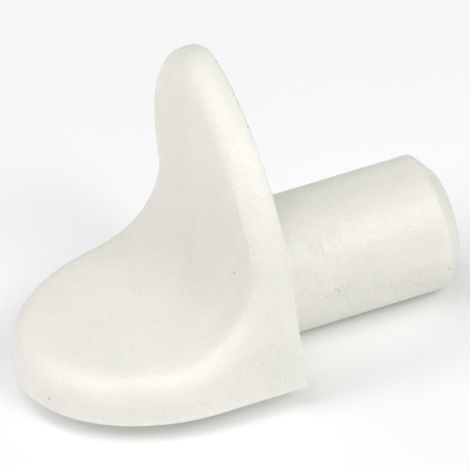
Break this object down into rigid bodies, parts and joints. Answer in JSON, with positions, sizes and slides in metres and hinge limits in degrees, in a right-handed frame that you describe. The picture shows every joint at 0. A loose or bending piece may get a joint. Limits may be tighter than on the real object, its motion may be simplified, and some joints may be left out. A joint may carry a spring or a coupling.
{
  "type": "shelf support pin",
  "caption": "Moulded plastic shelf pin: a round bevelled pin fits a hole in a cabinet side; a rounded plate lies on the panel and a flat-faced ledge carries the shelf, joined by a concave web.",
  "frame": {"origin": "where the pin's axis crosses the back of the plate, the face that lies on the panel", "axes": "+X along the pin to its free end, +Z towards the round top of the plate, Y across. The flat face that carries the shelf looks along -Z; in use the part is turned over so that this face is up"},
  "size_m": [0.0164, 0.0114, 0.0116],
  "materials": {
    "translucent_plastic": "satin, slightly translucent, natural white"
  },
  "bodies": {
    "root": {"shelf_pin": "translucent_plastic"}
  },
  "joints": []
}
